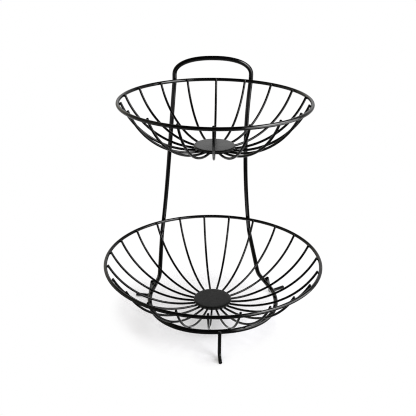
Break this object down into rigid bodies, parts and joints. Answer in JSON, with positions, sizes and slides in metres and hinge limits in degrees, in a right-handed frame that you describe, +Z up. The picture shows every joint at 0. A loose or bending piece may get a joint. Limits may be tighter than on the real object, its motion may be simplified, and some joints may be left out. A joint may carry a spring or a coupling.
{
  "type": "two-tier wire fruit basket",
  "caption": "Tiered fruit basket of black wire: a bent frame with handle and ring carries a small fixed bowl over a larger loose one, on short wire legs.",
  "frame": {"origin": "on the table, under the centre of the lower bowl, which is the middle of the bounding box", "axes": "+Z up; the front, where the front leg stands, faces -Y; the uprights stand at the back, +Y"},
  "size_m": [0.3093, 0.3093, 0.3671],
  "materials": {
    "frame": "satin black paint",
    "legs": "satin black paint",
    "rims": "satin black paint",
    "ribs": "satin black paint",
    "caps": "satin black paint"
  },
  "bodies": {
    "stand": {"frame_wire": "frame", "front_leg": "legs", "rear_leg_left": "legs", "rear_leg_right": "legs", "upper_rim": "rims", "upper_rib_01": "ribs", "upper_rib_02": "ribs", "upper_rib_03": "ribs", "upper_rib_04": "ribs", "upper_rib_05": "ribs", "upper_rib_06": "ribs", "upper_rib_07": "ribs", "upper_rib_08": "ribs", "upper_rib_09": "ribs", "upper_rib_10": "ribs", "upper_rib_11": "ribs", "upper_rib_12": "ribs", "upper_rib_13": "ribs", "upper_rib_14": "ribs", "upper_rib_15": "ribs", "upper_rib_16": "ribs", "upper_rib_17": "ribs", "upper_rib_18": "ribs", "upper_cap": "caps"},
    "lower_bowl": {"lower_rim": "rims", "lower_rib_01": "ribs", "lower_rib_02": "ribs", "lower_rib_03": "ribs", "lower_rib_04": "ribs", "lower_rib_05": "ribs", "lower_rib_06": "ribs", "lower_rib_07": "ribs", "lower_rib_08": "ribs", "lower_rib_09": "ribs", "lower_rib_10": "ribs", "lower_rib_11": "ribs", "lower_rib_12": "ribs", "lower_rib_13": "ribs", "lower_rib_14": "ribs", "lower_rib_15": "ribs", "lower_rib_16": "ribs", "lower_rib_17": "ribs", "lower_rib_18": "ribs", "lower_rib_19": "ribs", "lower_rib_20": "ribs", "lower_rib_21": "ribs", "lower_rib_22": "ribs", "lower_rib_23": "ribs", "lower_cap": "caps"}
  },
  "joints": [
    {"name": "lower_bowl_lift", "type": "slide", "parent": "stand", "child": "lower_bowl", "axis": [0, -0.8387, 0.5446], "range_m": [0, 0.35]}
  ]
}
